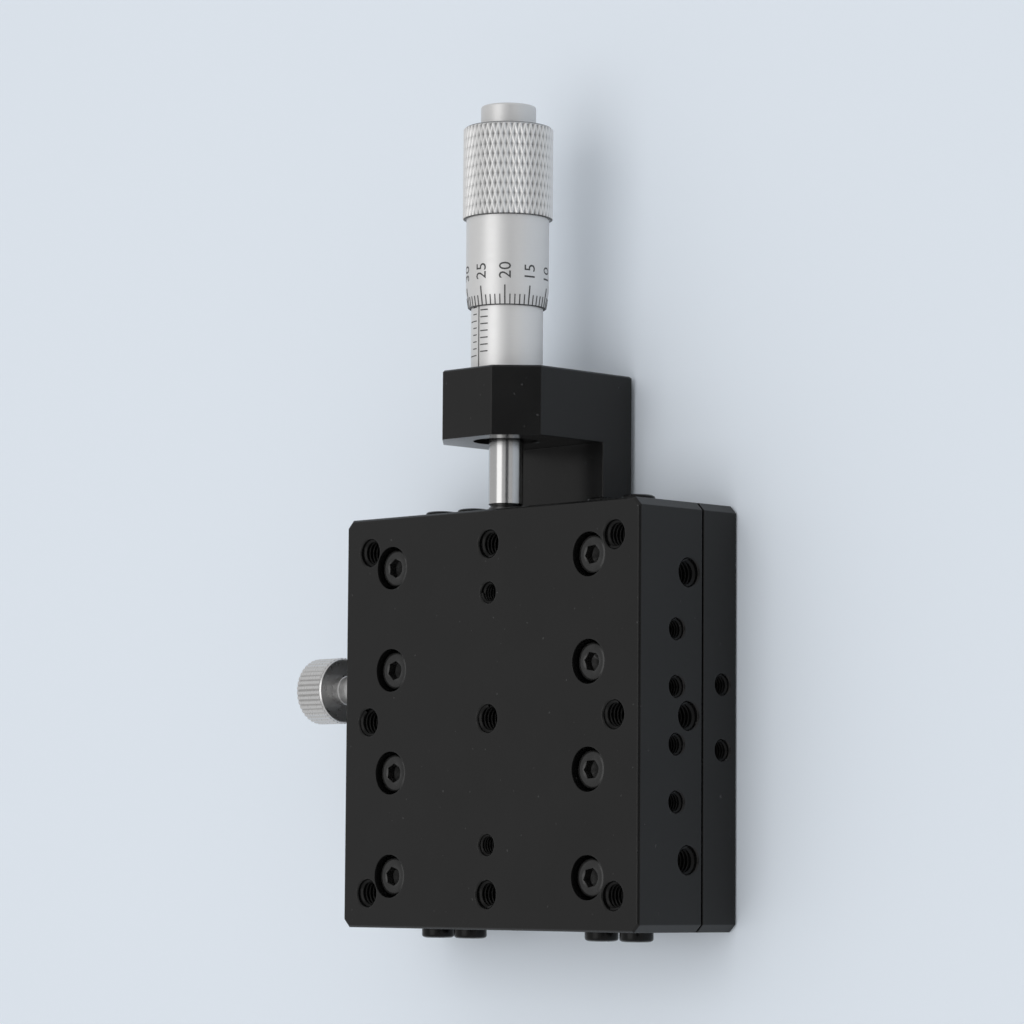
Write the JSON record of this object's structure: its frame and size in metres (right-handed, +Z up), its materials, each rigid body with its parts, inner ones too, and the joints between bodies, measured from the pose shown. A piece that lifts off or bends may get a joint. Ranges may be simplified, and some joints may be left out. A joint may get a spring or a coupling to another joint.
{
  "type": "linear translation stage",
  "caption": "Manual crossed-roller linear translation stage with an end micrometer, a tapped square table and a side lock knob.",
  "frame": {"origin": "centre of the base plate's underside", "axes": "+X along the travel, towards the micrometer; +Z up, out of the table's face; +Y towards the lock knob"},
  "size_m": [0.1202, 0.0741, 0.0245],
  "materials": {
    "black_anodised": "satin black anodised aluminium",
    "black_oxide_screw": "black oxide alloy steel",
    "ground_rail_steel": "hardened ground steel",
    "roller_steel": "polished bearing steel",
    "cage_brass": "thin brass strip",
    "spring_steel": "drawn spring wire",
    "ground_spindle_steel": "ground bright steel",
    "satin_chrome": "satin chrome plated",
    "turned_knob_steel": "turned stainless steel, warm",
    "hardened_dark_steel": "hardened dark steel"
  },
  "bodies": {
    "base": {"base_plate": "black_anodised", "base_rail_left": "ground_rail_steel", "base_rail_right": "ground_rail_steel", "base_rail_screws": "black_oxide_screw", "base_rail_end_screws": "black_oxide_screw", "spring_posts_base": "ground_spindle_steel", "return_spring_left": "spring_steel", "return_spring_right": "spring_steel", "micrometer_bracket": "black_anodised", "bracket_screws": "black_oxide_screw", "stem_clamp_screw": "black_oxide_screw", "micrometer_barrel": "satin_chrome", "graduated_sleeve": "satin_chrome", "thread_adjusting_nut": "satin_chrome", "lock_plate": "black_anodised", "lock_plate_screws": "black_oxide_screw"},
    "table": {"stage_table": "black_anodised", "table_rail_left": "ground_rail_steel", "table_rail_right": "ground_rail_steel", "table_rail_screws": "black_oxide_screw", "table_rail_end_screws": "black_oxide_screw", "preload_set_screws": "black_oxide_screw", "spindle_contact_button": "hardened_dark_steel", "spring_posts_table": "ground_spindle_steel"},
    "cage_left": {"roller_cage_left": "cage_brass", "rollers_left": "roller_steel"},
    "cage_right": {"roller_cage_right": "cage_brass", "rollers_right": "roller_steel"},
    "spindle": {"micrometer_spindle": "ground_spindle_steel", "thimble": "satin_chrome", "thimble_end_cap": "satin_chrome"},
    "lock": {"lock_screw": "turned_knob_steel", "lock_knob": "turned_knob_steel"}
  },
  "joints": [
    {"name": "table_slide", "type": "slide", "parent": "base", "child": "table", "axis": [1, 0, 0], "range_m": [-0.0065, 0.0065], "deforming": ["return_spring_left", "return_spring_right"]},
    {"name": "cage_left_slide", "type": "slide", "parent": "base", "child": "cage_left", "axis": [1, 0, 0], "range_m": [-0.00325, 0.00325]},
    {"name": "cage_right_slide", "type": "slide", "parent": "base", "child": "cage_right", "axis": [1, 0, 0], "range_m": [-0.00325, 0.00325]},
    {"name": "thimble_turn", "type": "hinge", "parent": "table", "child": "spindle", "pos_m": [0.06, 0, 0.0165], "axis": [1, 0, 0], "range_deg": [-4680, 4680]},
    {"name": "lock_turn", "type": "hinge", "parent": "table", "child": "lock", "pos_m": [0.0053, 0.04, 0.0124], "axis": [0, 1, 0], "range_deg": [-90, 180]}
  ],
  "couplings": [
    {"joint": "thimble_turn", "follows": "table_slide", "rad_per_m": 12566},
    {"joint": "cage_left_slide", "follows": "table_slide", "ratio": 0.5},
    {"joint": "cage_right_slide", "follows": "table_slide", "ratio": 0.5}
  ]
}
